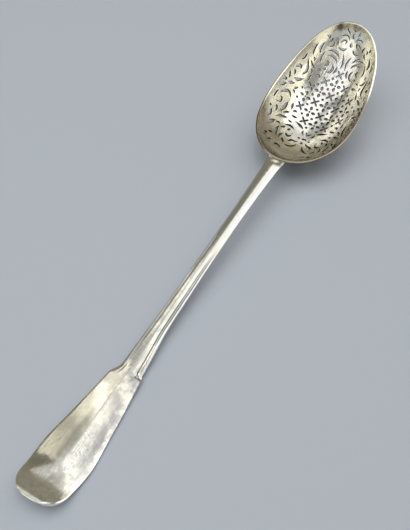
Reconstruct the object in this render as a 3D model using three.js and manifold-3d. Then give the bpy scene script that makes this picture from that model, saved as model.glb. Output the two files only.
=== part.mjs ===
// A silver olive spoon. A long handle with a ribbed, upturned blade is soldered to a deep
// egg-shaped bowl, which is pierced all over so that brine drains through it.
// Millimetres, +Z up. +X runs from the end of the handle to the tip of the bowl, +Y to the left.
import * as THREE from "three";
import { mergeVertices } from "three/addons/utils/BufferGeometryUtils.js";
import Module from "manifold-3d";

const wasm = await Module();
wasm.setup();

// Handle, measured along the table from its free end
const handleLength = 206.3;
const bladeWidth = 25.7;
const bladeWidestAt = 24;
const bladeEndRound = 12;
const bladeEndSquareness = 2.6;
const bladeThickness = 2.0;
const ribHeight = 1.0;
const ribStart = 5;
const ribFadeLength = 12;
const ribEndLead = 10;
const ribEndRun = 22;
const lipLength = 18.5;
const lipRise = 8.6;
const lipSweep = 1.75;
const restLength = 12;
const shoulderAt = 70.5;
const leftShoulderLead = 5.9;
const shoulderWidth = 14.4;
const rightShoulderRun = 3;
const leftShoulderRun = 6.5;
const stemRootWidth = 10.3;
const rightRootSwell = 1.35;
const rootSwellLength = 26;
const stemWaistWidth = 6.8;
const stemWaistFromHeel = 44;
const neckWidth = 9.4;
const neckLength = 24;
const stemThickness = 4.3;
const neckThickness = 3.8;
const thickeningLead = 12;
const thickeningRun = 38;
const stemArch = 0.42;
const riseLead = 8;
const bendLength = 14;
const edgeBevel = 0.45;
const sectionBlend = 4;
const chamferStart = 0.6;
const chamferStep = 0.08;
const chamferLength = 62;
const chamferFadeStart = 0.3;

// Bowl, measured over the outside of its rim, along the line from its heel to its tip
const bowlLength = 92.6;
const bowlWidth = 53.2;
const bowlDepth = 21.9;
const rimSheer = 6.4;
const bowlPitch = THREE.MathUtils.degToRad(17.75);
const wallAngle = THREE.MathUtils.degToRad(75.3);
const bowlWall = 1.0;
const rimThickness = 1.2;
const rimThickensFrom = 0.88;
const restWear = 0.25;

// Egg outline of the bowl's mouth: its centre, and how it tapers and fills out towards the tip
const eggCentre = -0.03;
const eggTaper = -0.144;
const eggFullness = 0.104;
const eggEnd = 0.081;

// Soldered joint between the neck and the back of the bowl
const seatGap = 0.3;
const solderThickness = 0.4;
const solderMargin = 0.7;
const neckAboveRim = 2.2;
const neckDropLength = 6;
const tongueLength = 12.5;
const tongueWidth = 7.4;
const tongueThickness = 1.3;
const tongueThinnedBy = 0.8;
const tongueCrown = 0.45;
const tongueTuck = 0.9;
const patchEndRound = 3;

// Piercing, drawn for a flat sheet of this length and width, and stretched with it
const sheetStretch = 1.165;
const drawnSheetLength = 105.083;
const drawnSheetWidth = 59.182;
const columnPitch = 5.72;
const rowPitch = 5.5;
const firstColumnAt = -4.8;
const petalReach = 1.95;
const petalLength = 2.1;
const petalWidth = 1.5;
const crossEye = 0.9;
const saltireReach = 2.35;
const saltireWaist = 0.82;
const dotSize = 1.25;
const leafBreadth = 1.2;
const cutPitch = 1.5;
const leastRimBand = 0.9;
const leastCutArea = 0.3;

// Mesh fineness
const rimSteps = 76;
const sheetPitch = 4.3;
const sheetMargin = 1.25;
const formRings = 30;
const formSteps = 120;

const point = (x, y) => new THREE.Vector2(x, y);
const mix = THREE.MathUtils.lerp;
const smooth = THREE.MathUtils.smoothstep;

// The mouth of the bowl, inside its rim, and the flat sheet that is raised into it
const mouthLength = bowlLength - 2 * rimThickness;
const mouthWidth = bowlWidth - 2 * rimThickness;
const sheetLength = mouthLength * sheetStretch;
const sheetWidth = mouthWidth * sheetStretch;

function eggShape(along) {
  const ellipse = Math.sqrt(Math.max(0, 1 - along ** 2));
  return ellipse * (1 + eggTaper * along + eggFullness * along ** 2 + eggEnd * along ** 3);
}

const eggSamples = Array.from({ length: 401 }, (_, i) => eggShape(i / 200 - 1));
const eggWidest = Math.max(...eggSamples);
const halfBeam = (along) => ((mouthWidth / 2) * eggShape(along)) / eggWidest;

// Distance from the mouth's centre to its edge, in a direction that is 0 towards the tip
function mouthRadius(direction) {
  let inside = 0;
  let outside = mouthLength;
  for (let i = 0; i < 40; i++) {
    const radius = (inside + outside) / 2;
    const along = eggCentre + (2 * radius * Math.cos(direction)) / mouthLength;
    const across = Math.abs(radius * Math.sin(direction));
    if (Math.abs(along) < 1 && across < halfBeam(along)) inside = radius;
    else outside = radius;
  }
  return inside;
}

// How far a point of the flat sheet lies from the centre, where 1 is the rim
const sheetShare = (x, y) => Math.hypot(x, y) / (mouthRadius(Math.atan2(y, x)) * sheetStretch);

// Inside of the bowl above a point of the flat sheet, from the heel, level with the rim line
function hollow(x, y) {
  const direction = Math.atan2(y, x);
  const edge = mouthRadius(direction);
  const swing = (Math.hypot(x, y) / (edge * sheetStretch)) * wallAngle;
  const radius = (edge * Math.sin(swing)) / Math.sin(wallAngle);
  const sunk = (Math.cos(swing) - Math.cos(wallAngle)) / (1 - Math.cos(wallAngle));
  const along = eggCentre + (2 * radius * Math.cos(direction)) / mouthLength;
  return new THREE.Vector3(
    rimThickness + (mouthLength * (1 + along)) / 2,
    radius * Math.sin(direction),
    -rimSheer * (1 - along ** 2) - bowlDepth * sunk,
  );
}

// The same point moved out through the wall by a distance
function throughWall(x, y, distance) {
  const step = 0.01;
  const lengthwise = hollow(x + step, y).sub(hollow(x - step, y));
  const crosswise = hollow(x, y + step).sub(hollow(x, y - step));
  const inward = lengthwise.cross(crosswise).normalize();
  return hollow(x, y).addScaledVector(inward, -distance);
}

const wallAt = (x, y) => mix(bowlWall, rimThickness, smooth(sheetShare(x, y), rimThickensFrom, 1));

// The bowl stands pitched up on the lowest part of its back, which is worn a little flat
const pitched = (at) => at.applyAxisAngle(new THREE.Vector3(0, 1, 0), -bowlPitch);
const depthSamples = 200;
let backDepth = 0;
for (let i = 1; i < depthSamples; i++) {
  const x = sheetLength * (i / depthSamples - 0.5) * 0.9;
  backDepth = Math.max(backDepth, -pitched(throughWall(x, 0, bowlWall)).z);
}
const heelHeight = backDepth - restWear;

function bowlPoint(x, y, distance) {
  const at = pitched(throughWall(x, y, distance));
  at.x += handleLength;
  at.z = Math.max(0, at.z + heelHeight);
  return at;
}

// Piercing outlines, all anticlockwise in the flat sheet, with +X towards the tip

// A leaf along a curved spine: pointed at both ends, and fullest at a share of its length
function leaf(spine, width, fullest = 0.5) {
  const curve = new THREE.SplineCurve(spine.map(([x, y]) => point(x, y)));
  const steps = Math.max(3, Math.round(curve.getLength() / cutPitch) + 1);
  const skew = Math.log(0.5) / Math.log(fullest);
  const right = [];
  const left = [];
  for (let i = 1; i < steps; i++) {
    const at = curve.getPointAt(i / steps);
    const along = curve.getTangentAt(i / steps);
    const half = ((width * leafBreadth) / 2) * Math.sin(Math.PI * (i / steps) ** skew);
    right.push(point(at.x + along.y * half, at.y - along.x * half));
    left.unshift(point(at.x - along.y * half, at.y + along.x * half));
  }
  return [curve.getPoint(0), ...right, curve.getPoint(1), ...left];
}

const lozenge = (x, y, length, height) => [
  point(x - length / 2, y),
  point(x, y - height / 2),
  point(x + length / 2, y),
  point(x, y + height / 2),
];

// A diagonal cross with four pointed arms
function saltire(x, y) {
  return Array.from({ length: 8 }, (_, i) => {
    const turn = (i * Math.PI) / 4;
    const reach = i % 2 ? saltireReach : saltireWaist;
    return point(x + reach * Math.cos(turn), y + reach * Math.sin(turn));
  });
}

// Four petals round a small eye
function petalCross(x, y) {
  return [
    lozenge(x - petalReach, y, petalLength, petalWidth),
    lozenge(x + petalReach, y, petalLength, petalWidth),
    lozenge(x, y - petalReach, petalWidth, petalLength),
    lozenge(x, y + petalReach, petalWidth, petalLength),
    lozenge(x, y, crossEye, crossEye),
  ];
}

// Crosses and saltires take turns on a square field, with dots between them
function diaper() {
  const cuts = [];
  const crossRows = [[-2, 1, 3], [-1, 0, 4], [0, 0, 5], [1, 0, 4], [2, 1, 3]];
  for (const [row, first, last] of crossRows) {
    for (let column = first; column <= last; column++) {
      const x = firstColumnAt + column * columnPitch;
      const y = row * rowPitch;
      if ((column + row) % 2) cuts.push(saltire(x, y));
      else cuts.push(...petalCross(x, y));
    }
  }
  const dotRows = [[0.5, -1, 4], [1.5, 0, 3], [2.62, 1, 2]];
  for (const [row, first, last] of dotRows) {
    for (let column = first; column <= last; column++) {
      const x = firstColumnAt + (column + 0.5) * columnPitch;
      cuts.push(lozenge(x, row * rowPitch, dotSize, dotSize));
      cuts.push(lozenge(x, -row * rowPitch, dotSize, dotSize));
    }
  }
  return cuts;
}

// Scrolls and leaves of the left half: spine, width and, where it isn't in the middle, fullest share
const heelScrolls = [
  [[[-31.8, 17.3], [-29.0, 17.9], [-27.1, 17.0]], 1.0],
  [[[-25.9, 17.2], [-24.9, 16.1], [-23.8, 15.2]], 1.0],
  [[[-32.0, 13.8], [-30.5, 14.1], [-28.8, 13.3]], 0.8],
  [[[-31.4, 10.2], [-29.0, 9.4], [-28.9, 7.9], [-30.6, 6.8]], 1.2],
  [[[-23.8, 12.0], [-21.2, 13.9], [-16.9, 14.3]], 1.3, 0.62],
  [[[-16.3, 13.3], [-15.2, 12.4], [-13.8, 11.5]], 0.9],
  [[[-23.4, 11.0], [-20.8, 11.3], [-18.5, 10.4]], 0.7],
  [[[-24.6, 7.6], [-23.2, 8.4], [-21.3, 9.6]], 1.1],
  [[[-25.2, 6.5], [-24.6, 4.4], [-22.7, 2.5], [-20.3, 1.6]], 1.0, 0.4],
  [[[-21.6, 6.2], [-19.3, 5.2], [-18.8, 3.4], [-17.5, 1.6]], 1.1, 0.45],
  [[[-14.4, 6.8], [-16.6, 6.7], [-18.2, 8.0], [-17.0, 9.6]], 1.3, 0.76],
  [[[-15.4, 9.6], [-14.2, 9.3], [-13.0, 8.6]], 0.9],
  [[[-13.1, 12.2], [-11.6, 9.8], [-12.0, 6.6]], 1.0],
  [[[-7.5, 9.1], [-8.2, 5.8], [-9.4, 3.6]], 1.2, 0.6],
  [[[-12.7, 1.9], [-11.4, 2.9], [-9.9, 3.1]], 0.8],
  [[[-9.5, 12.4], [-9.6, 11.2], [-9.4, 9.9]], 0.9],
  [[[-6.1, 12.3], [-6.0, 10.7], [-5.4, 8.9]], 0.9],
  [[[-4.2, 12.2], [-3.1, 11.8], [-2.8, 10.3]], 1.0, 0.4],
];
const sideScrolls = [
  [[[-23.5, 20.2], [-19.7, 19.4], [-15.6, 17.6]], 1.5, 0.62],
  [[[-16.3, 16.6], [-15.2, 15.9], [-14.3, 14.5]], 0.9],
  [[[-14.1, 18.7], [-11.3, 16.8], [-8.7, 13.0]], 1.1, 0.6],
  [[[-11.2, 19.2], [-6.5, 17.4], [-1.6, 17.0]], 1.5, 0.66],
  [[[-8.5, 16.4], [-7.0, 15.2], [-5.3, 13.6]], 0.9],
  [[[-13.3, 25.1], [-12.3, 24.6], [-11.6, 23.8]], 1.0],
  [[[-19.3, 22.5], [-15.8, 21.9], [-12.6, 22.6]], 1.4, 0.65],
  [[[-13.3, 20.6], [-10.5, 20.3], [-8.2, 21.4]], 1.5, 0.75],
  [[[-3.9, 13.6], [-1.8, 14.1], [0.1, 14.3]], 1.1],
  [[[-7.6, 25.2], [-4.7, 25.7], [-1.6, 25.0]], 1.3],
  [[[-7.0, 23.5], [-5.8, 21.3], [-4.0, 20.6], [-2.8, 21.4], [-3.7, 22.1]], 1.2, 0.7],
  [[[-1.3, 23.6], [1.2, 21.9], [2.8, 19.8], [2.4, 18.2], [0.8, 16.8]], 1.2],
  [[[0.8, 26.0], [3.0, 24.8], [5.3, 22.8]], 1.4],
  [[[4.8, 26.6], [6.2, 25.5], [7.4, 23.8]], 1.2, 0.65],
  [[[6.6, 22.8], [7.3, 21.2], [8.7, 18.8]], 1.1, 0.4],
  [[[4.3, 16.3], [5.0, 17.1], [5.5, 18.2]], 0.9],
  [[[6.1, 18.2], [7.0, 17.3], [8.2, 16.2]], 0.9],
  [[[8.6, 22.7], [10.0, 23.9], [12.2, 25.0]], 1.2],
  [[[12.1, 21.2], [13.5, 22.0], [14.8, 22.9]], 1.3],
  [[[10.7, 20.8], [11.2, 18.7], [13.7, 15.8]], 1.4, 0.4],
  [[[16.2, 23.0], [18.0, 21.9], [18.2, 20.4], [16.9, 19.7]], 1.5],
  [[[14.7, 17.9], [17.8, 16.6], [20.4, 17.1], [24.2, 18.7]], 1.4, 0.45],
  [[[22.0, 22.2], [23.6, 21.3], [26.6, 20.6]], 1.5, 0.35],
  [[[12.9, 14.6], [15.0, 13.8], [17.6, 13.4]], 0.9],
  [[[18.1, 13.5], [19.2, 13.9], [20.4, 14.8]], 0.9],
];
const tipScrolls = [
  [[[18.4, 12.4], [18.9, 10.9], [19.2, 8.8]], 1.1, 0.7],
  [[[21.2, 12.1], [22.0, 11.2], [22.2, 9.9]], 0.8],
  [[[21.9, 12.9], [22.0, 14.9], [24.4, 17.0]], 0.9],
  [[[24.6, 14.9], [25.7, 15.5], [26.8, 16.4]], 0.9],
  [[[26.9, 17.2], [30.6, 18.1], [34.9, 17.5]], 1.0],
  [[[29.6, 14.1], [33.0, 15.2], [36.7, 14.2]], 1.4],
  [[[25.4, 12.0], [28.5, 12.8], [32.1, 11.9]], 0.9],
  [[[39.4, 12.6], [40.9, 13.3], [41.1, 14.9]], 1.0],
  [[[25.1, 9.6], [26.1, 8.1], [27.5, 8.4], [27.9, 9.8]], 0.8],
  [[[22.5, 7.6], [23.3, 5.6], [25.6, 4.9], [27.8, 6.0]], 0.9],
  [[[30.3, 10.0], [31.3, 7.6], [30.2, 5.0], [28.4, 3.9]], 0.9],
  [[[33.0, 11.1], [34.1, 8.0], [33.2, 5.4], [31.2, 3.5]], 1.0],
  [[[23.1, 3.9], [25.2, 3.0], [27.2, 3.0]], 0.9],
  [[[35.3, 10.9], [36.4, 9.7], [38.6, 9.4]], 0.9],
  [[[26.6, 1.3], [30.2, 1.0], [34.2, 2.4]], 0.8],
  [[[37.9, 1.6], [36.4, 3.4], [36.7, 6.4]], 1.1],
  [[[39.4, 3.4], [41.5, 3.1], [41.7, 4.7], [39.4, 6.0]], 0.9],
  [[[42.2, 1.6], [44.4, 2.9], [45.0, 4.8], [43.4, 6.4]], 1.0, 0.6],
  [[[46.0, 2.4], [47.8, 3.5], [49.6, 4.7]], 1.1, 0.6],
  [[[37.7, 7.6], [39.6, 7.8], [41.8, 9.1]], 0.9],
  [[[38.0, 11.0], [39.3, 11.3], [40.7, 10.8]], 0.9],
];

function piercing() {
  const half = [...heelScrolls, ...sideScrolls, ...tipScrolls];
  const cuts = half.map(([spine, width, fullest]) => leaf(spine, width, fullest));
  cuts.push(lozenge(-15.4, 2.7, dotSize, dotSize), lozenge(23.6, 8.6, dotSize, dotSize));
  const mirrored = cuts.map((cut) => cut.map((at) => point(at.x, -at.y)).reverse());
  const heelArrow = [point(-13.2, 0), point(-9.8, -1.5), point(-11.3, 0), point(-9.8, 1.5)];
  const onAxis = [
    lozenge(-18.1, 0, 1.8, 1.3),
    lozenge(-15.2, 0, 1.9, 2.7),
    heelArrow,
    lozenge(40.1, 0, 2.6, 1.8),
    leaf([[43.7, 0], [45.4, 0], [47.2, 0]], 1.2),
    lozenge(49.2, 0, 1.4, 1.3),
  ];
  return [...diaper(), ...cuts, ...mirrored, ...onAxis].map((cut) =>
    cut.map(({ x, y }) => point((x * sheetLength) / drawnSheetLength, (y * sheetWidth) / drawnSheetWidth)),
  );
}

// The cuts as they are sawn: any that meet run together, and a plain band is left along the rim
function sawn(cuts, rim) {
  const flat = (loop) => new wasm.CrossSection([loop.map(({ x, y }) => [x, y])], "NonZero");
  const field = flat(rim).offset(-leastRimBand, "Round");
  const open = wasm.CrossSection.union(cuts.map(flat)).intersect(field).simplify(0.004);
  const outlines = open.toPolygons().map((loop) => loop.map(([x, y]) => point(x, y)));
  return outlines.filter((loop) => THREE.ShapeUtils.area(loop) > leastCutArea);
}

// The sheet: triangles between the rim and the piercings

const turnOf = (a, b, c) => (b.x - a.x) * (c.y - a.y) - (b.y - a.y) * (c.x - a.x);

function cornerAngle(corner, a, b) {
  const across = Math.abs(turnOf(corner, a, b));
  const along = (a.x - corner.x) * (b.x - corner.x) + (a.y - corner.y) * (b.y - corner.y);
  return Math.atan2(across, along);
}

// Swaps the edge that two triangles share wherever that leaves them less sharp
function evenOut(points, triangles) {
  const mostPasses = 200;
  for (let pass = 0; pass < mostPasses; pass++) {
    const edges = new Map();
    triangles.forEach((corners, index) => {
      corners.forEach((a, k) => edges.set(a * points.length + corners[(k + 1) % 3], [index, k]));
    });
    const touched = new Set();
    for (const [key, [index, k]] of edges) {
      const a = Math.floor(key / points.length);
      const b = key % points.length;
      const twin = edges.get(b * points.length + a);
      if (!twin || a > b || touched.has(index) || touched.has(twin[0])) continue;
      const c = triangles[index][(k + 2) % 3];
      const d = triangles[twin[0]][(twin[1] + 2) % 3];
      const [pa, pb, pc, pd] = [points[a], points[b], points[c], points[d]];
      const sharp = cornerAngle(pc, pa, pb) + cornerAngle(pd, pa, pb) > Math.PI + 1e-6;
      if (!sharp || turnOf(pc, pa, pd) < 1e-9 || turnOf(pd, pb, pc) < 1e-9) continue;
      triangles[index] = [c, a, d];
      triangles[twin[0]] = [d, b, c];
      touched.add(index).add(twin[0]);
    }
    if (!touched.size) return;
  }
}

// Points that carry the curve where the sheet is plain, clear of the rim and of every cut
function plainPoints(loops) {
  const edges = loops.flatMap((loop) =>
    loop.map((a, i) => new THREE.Line3(
      new THREE.Vector3(a.x, a.y, 0),
      new THREE.Vector3(loop[(i + 1) % loop.length].x, loop[(i + 1) % loop.length].y, 0),
    )),
  );
  const inside = (at, loop) => {
    let crossings = 0;
    loop.forEach((a, i) => {
      const b = loop[(i + 1) % loop.length];
      const spans = a.y > at.y !== b.y > at.y;
      if (spans && at.x < a.x + ((at.y - a.y) * (b.x - a.x)) / (b.y - a.y)) crossings++;
    });
    return crossings % 2 === 1;
  };
  const nearest = new THREE.Vector3();
  const found = [];
  const rowStep = sheetPitch * Math.sin(Math.PI / 3);
  const lastRow = Math.ceil(sheetWidth / 2 / rowStep);
  const reach = sheetLength / 2 + sheetPitch;
  // Off the axis by a hair, so that no row runs through the tips of the cuts there
  const hair = 0.037;
  for (let row = -lastRow; row <= lastRow; row++) {
    for (let x = -reach; x <= reach; x += sheetPitch) {
      const at = new THREE.Vector3(x + (row % 2 ? sheetPitch / 2 : 0), row * rowStep + hair, 0);
      if (!inside(at, loops[0]) || loops.slice(1).some((loop) => inside(at, loop))) continue;
      const clear = edges.every((edge) => {
        edge.closestPointToPoint(at, true, nearest);
        return nearest.distanceTo(at) > sheetMargin;
      });
      if (clear) found.push(point(at.x, at.y));
    }
  }
  return found;
}

function cutSheet() {
  const rim = Array.from({ length: rimSteps }, (_, i) => {
    const turn = (i * 2 * Math.PI) / rimSteps;
    const along = Math.cos(turn);
    const across = Math.sign(Math.sin(turn)) * halfBeam(along);
    return point(((along - eggCentre) * sheetLength) / 2, across * sheetStretch);
  });
  const cuts = sawn(piercing(), rim);
  const holes = cuts.map((cut) => cut.slice().reverse());
  const points = [rim, ...holes].flat();
  const triangles = THREE.ShapeUtils.triangulateShape(rim, holes).map((corners) => {
    const [a, b, c] = corners;
    return turnOf(points[a], points[b], points[c]) < 0 ? [a, c, b] : [a, b, c];
  });
  for (const extra of plainPoints([rim, ...cuts])) {
    const index = triangles.findIndex(([a, b, c]) =>
      turnOf(points[a], points[b], extra) > 0 &&
      turnOf(points[b], points[c], extra) > 0 &&
      turnOf(points[c], points[a], extra) > 0);
    if (index < 0) continue;
    const [a, b, c] = triangles[index];
    const added = points.push(extra) - 1;
    triangles.splice(index, 1, [a, b, added], [b, c, added], [c, a, added]);
  }
  evenOut(points, triangles);
  return { points, triangles, loops: [rim, ...holes] };
}

function geometryOf(vertices, faces) {
  const geometry = new THREE.BufferGeometry();
  const numbers = vertices.flatMap((vertex) => vertex.toArray());
  geometry.setAttribute("position", new THREE.Float32BufferAttribute(numbers, 3));
  geometry.setIndex(faces.flat());
  return geometry;
}

// The sheet raised into the bowl: the inside, the back and the walls of the rim and of every cut
function bowlGeometry() {
  const { points, triangles, loops } = cutSheet();
  const count = points.length;
  const vertices = [
    ...points.map(({ x, y }) => bowlPoint(x, y, 0)),
    ...points.map(({ x, y }) => bowlPoint(x, y, wallAt(x, y))),
  ];
  const faces = [];
  for (const [a, b, c] of triangles) faces.push([a, b, c], [a + count, c + count, b + count]);
  let start = 0;
  for (const loop of loops) {
    loop.forEach((_, i) => {
      const a = start + i;
      const b = start + ((i + 1) % loop.length);
      faces.push([a, a + count, b + count], [a, b + count, b]);
    });
    start += loop.length;
  }
  return geometryOf(vertices, faces);
}

// Rings of points joined into one closed skin with a flat cap at each end
function loft(rings) {
  const size = rings[0].length;
  const vertices = rings.flat();
  const faces = [];
  for (let i = 0; i + 1 < rings.length; i++) {
    for (let k = 0; k < size; k++) {
      const a = i * size + k;
      const b = i * size + ((k + 1) % size);
      faces.push([a, b, b + size], [a, b + size, a + size]);
    }
  }
  const last = (rings.length - 1) * size;
  for (let k = 1; k + 1 < size; k++) {
    faces.push([0, k + 1, k], [last, last + k, last + k + 1]);
  }
  return geometryOf(vertices, faces);
}

// The handle

function stations(list) {
  const places = list.map(([at]) => at);
  const values = list.map(([, value]) => value);
  const curve = new THREE.CubicInterpolant(places, values, 1);
  return (at) => curve.evaluate(THREE.MathUtils.clamp(at, places[0], places.at(-1)))[0];
}

const bladeTaper = (share) => mix(bladeWidth, shoulderWidth, share) / 2;
const alongBlade = (share) => mix(bladeWidestAt, shoulderAt, share);
const bladeHalf = stations([
  [bladeEndRound, bladeTaper(0.11)],
  [bladeWidestAt, bladeTaper(0)],
  [alongBlade(0.33), bladeTaper(0.32)],
  [alongBlade(0.66), bladeTaper(0.65)],
  [shoulderAt, bladeTaper(1)],
]);
const stemWaistAt = handleLength - stemWaistFromHeel;
const neckStart = handleLength - neckLength;
const stemTaper = (share) => mix(stemRootWidth, stemWaistWidth, share) / 2;
const neckFlare = (share) => mix(stemWaistWidth, neckWidth, share) / 2;
const stemHalf = stations([
  [shoulderAt - leftShoulderLead, stemTaper(0)],
  [mix(shoulderAt, stemWaistAt, 0.12), stemTaper(0.25)],
  [mix(shoulderAt, stemWaistAt, 0.33), stemTaper(0.66)],
  [mix(shoulderAt, stemWaistAt, 0.66), stemTaper(0.93)],
  [stemWaistAt, stemTaper(1)],
  [neckStart, neckFlare(0.22)],
  [neckStart + neckLength * 0.65, neckFlare(0.6)],
  [handleLength, neckFlare(1)],
]);

// Half the width on one side: the blade runs into the stem over a length from its shoulder
function halfWidth(at, shoulder, run, swell) {
  const short = Math.max(0, 1 - at / bladeEndRound) ** bladeEndSquareness;
  const blade = bladeHalf(at) * (1 - short) ** (1 / bladeEndSquareness);
  const stem = stemHalf(at) + swell * (1 - smooth(at, shoulderAt, shoulderAt + rootSwellLength));
  return mix(blade, stem, smooth(at, shoulder, shoulder + run));
}

function thickness(at) {
  const start = shoulderAt - thickeningLead;
  const grown = smooth(at, start, start + thickeningRun);
  const thinned = smooth(at, neckStart, handleLength);
  return mix(mix(bladeThickness, stemThickness, grown), neckThickness, thinned);
}

// Height of the middle of the metal: turned up at the end, level at rest, arched up to the bowl
const bladeMiddle = bladeThickness / 2;
const neckMiddle = heelHeight + neckAboveRim - neckThickness / 2;
const restEnd = lipLength + restLength;
const riseStart = shoulderAt - riseLead;
const bent = (at) => (at - riseStart + Math.hypot(at - riseStart, bendLength)) / 2;

function middle(at) {
  const lip = lipRise * Math.max(0, 1 - at / lipLength) ** lipSweep;
  const way = Math.max(0, bent(at) - bent(restEnd)) / (bent(handleLength) - bent(restEnd));
  return bladeMiddle + lip + (neckMiddle - bladeMiddle) * (way + stemArch * way * (1 - way));
}

// Right half of a section, from the crest of the rib round to the back, as [across, up]
function halfSection(at, half) {
  const up = thickness(at) / 2;
  const stem = smooth(at, shoulderAt - sectionBlend, shoulderAt + sectionBlend);
  const plain = smooth((at - shoulderAt) / chamferLength, chamferFadeStart, 1);
  const ribEnd = shoulderAt - ribEndLead;
  const ribLeft = 1 - smooth(at, ribEnd, ribEnd + ribEndRun);
  const rib = ribHeight * smooth(at, ribStart, ribStart + ribFadeLength) * ribLeft;
  const bevel = Math.min(edgeBevel, half * 0.4);
  const blade = [
    [0, up + rib],
    [half * 0.35, up + rib * 0.6],
    [half * 0.7, up + rib * 0.24],
    [half - bevel, up],
    [half, up - bevel],
    [half, bevel - up],
    [half - bevel, -up],
    [half * 0.5, -up],
    [0, -up],
  ];
  // A bar with its upper edges chamfered from a small step
  const bar = [
    [0, up + rib],
    [half * 0.3, up * 0.99 + rib * 0.6],
    [half * chamferStart, up * 0.93],
    [half * (chamferStart + chamferStep), up * 0.76],
    [half, up * 0.1],
    [half, up * -0.35],
    [half * 0.85, up * -0.8],
    [half * 0.5, up * -0.97],
    [0, -up],
  ];
  const round = [
    [0, up],
    [half * 0.3, up * 0.98],
    [half * 0.6, up * 0.86],
    [half * 0.8, up * 0.68],
    [half, up * 0.25],
    [half, up * -0.3],
    [half * 0.8, up * -0.75],
    [half * 0.45, up * -0.96],
    [0, -up],
  ];
  return blade.map(([across, height], i) => [
    mix(across, mix(bar[i][0], round[i][0], plain), stem),
    mix(height, mix(bar[i][1], round[i][1], plain), stem),
  ]);
}

function handleRing(at) {
  const step = 0.05;
  const tilt = Math.atan2(middle(at + step) - middle(at), step);
  const drop = neckAboveRim * smooth(at, handleLength - neckDropLength, handleLength + tongueTuck);
  const leftShoulderAt = shoulderAt - leftShoulderLead;
  const right = halfSection(at, halfWidth(at, shoulderAt, rightShoulderRun, rightRootSwell));
  const left = halfSection(at, halfWidth(at, leftShoulderAt, leftShoulderRun, 0));
  const around = [
    ...right.map(([across, height]) => [-across, height]),
    ...left.slice(1, -1).reverse(),
  ];
  return around.map(([across, height]) => {
    const lowered = height - drop * Math.max(0, height / (thickness(at) / 2));
    return new THREE.Vector3(
      at - lowered * Math.sin(tilt),
      across,
      middle(at) + lowered * Math.cos(tilt),
    );
  });
}

function handleGeometry() {
  const leftShoulderAt = shoulderAt - leftShoulderLead;
  const runEnd = shoulderAt + rightShoulderRun;
  const spread = (from, to, steps) => Array.from({ length: steps }, (_, i) => mix(from, to, i / steps));
  const rounded = spread(0, Math.PI / 2, 9).map((turn) => bladeEndRound * (1 - Math.cos(turn)) + 0.1);
  const places = [
    ...rounded,
    ...spread(bladeEndRound, leftShoulderAt, 15),
    ...spread(leftShoulderAt, shoulderAt, 7),
    ...spread(shoulderAt, runEnd, 4),
    ...spread(runEnd, handleLength + tongueTuck, 33),
    handleLength + tongueTuck,
  ];
  return loft(places.map(handleRing));
}

// The joint: a round-ended patch on the back of the bowl, from its rim at the heel

const rimAtHeel = mouthRadius(Math.PI) * sheetStretch;

// Where the rim crosses a line that lies a distance to the side of the axis
function rimBeside(across) {
  let near = 0;
  let far = rimAtHeel;
  for (let i = 0; i < 30; i++) {
    const middleWay = (near + far) / 2;
    if (sheetShare(-middleWay, across) < 1) near = middleWay;
    else far = middleWay;
  }
  return near;
}

// Its two faces lie at distances from the inside of the bowl that depend on the place in the
// sheet, on the way down the patch and on the share of the half width, both from 0 to 1
function patchGeometry(length, width, nearFace, farFace) {
  const rows = 12;
  const columns = 10;
  const nearlyAll = 0.98;
  const layer = (face) => {
    const points = [];
    for (let i = 0; i <= rows; i++) {
      const way = i / rows;
      const half = (width / 2) * Math.sqrt(1 - (nearlyAll * way) ** patchEndRound);
      for (let k = 0; k <= columns; k++) {
        const side = (2 * k) / columns - 1;
        const y = half * side;
        const x = mix(-rimBeside(y), length - rimAtHeel, way);
        points.push(bowlPoint(x, y, face(wallAt(x, y), way, side)));
      }
    }
    return points;
  };
  const vertices = [...layer(nearFace), ...layer(farFace)];
  const far = (rows + 1) * (columns + 1);
  const faces = [];
  const corner = (i, k) => i * (columns + 1) + k;
  for (let i = 0; i < rows; i++) {
    for (let k = 0; k < columns; k++) {
      const [a, b, c, d] = [corner(i, k), corner(i + 1, k), corner(i + 1, k + 1), corner(i, k + 1)];
      faces.push([a, b, c], [a, c, d], [a + far, c + far, b + far], [a + far, d + far, c + far]);
    }
  }
  const wall = (a, b) => faces.push([a, a + far, b + far], [a, b + far, b]);
  for (let i = 0; i < rows; i++) {
    wall(corner(i, 0), corner(i + 1, 0));
    wall(corner(i + 1, columns), corner(i, columns));
  }
  for (let k = 0; k < columns; k++) {
    wall(corner(0, k + 1), corner(0, k));
    wall(corner(rows, k), corner(rows, k + 1));
  }
  return geometryOf(vertices, faces);
}

// The bowl as a filled form, larger all round by a distance, to seat the neck against it
function filledBowl(distance) {
  const rings = [];
  for (let i = 1; i <= formRings; i++) {
    rings.push(Array.from({ length: formSteps }, (_, k) => {
      const turn = (k * 2 * Math.PI) / formSteps;
      const reach = mouthRadius(turn) * sheetStretch * (i / formRings);
      const [x, y] = [reach * Math.cos(turn), reach * Math.sin(turn)];
      return bowlPoint(x, y, wallAt(x, y) + distance);
    }));
  }
  const coverHeight = 12;
  rings.push(rings.at(-1).map((at) => at.clone().add(new THREE.Vector3(0, 0, coverHeight))));
  return loft(rings);
}

function solidOf(geometry) {
  geometry.deleteAttribute("normal");
  geometry.deleteAttribute("uv");
  const merged = mergeVertices(geometry, 1e-4);
  return new wasm.Manifold(new wasm.Mesh({
    numProp: 3,
    vertProperties: merged.attributes.position.array,
    triVerts: new Uint32Array(merged.index.array),
  }));
}

function geometryFrom(solid) {
  const { vertProperties, triVerts } = solid.getMesh();
  const geometry = new THREE.BufferGeometry();
  geometry.setAttribute("position", new THREE.BufferAttribute(vertProperties, 3));
  geometry.setIndex(new THREE.BufferAttribute(triVerts, 1));
  return geometry;
}

const stemSeat = 2 * seatGap + solderThickness;

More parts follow.
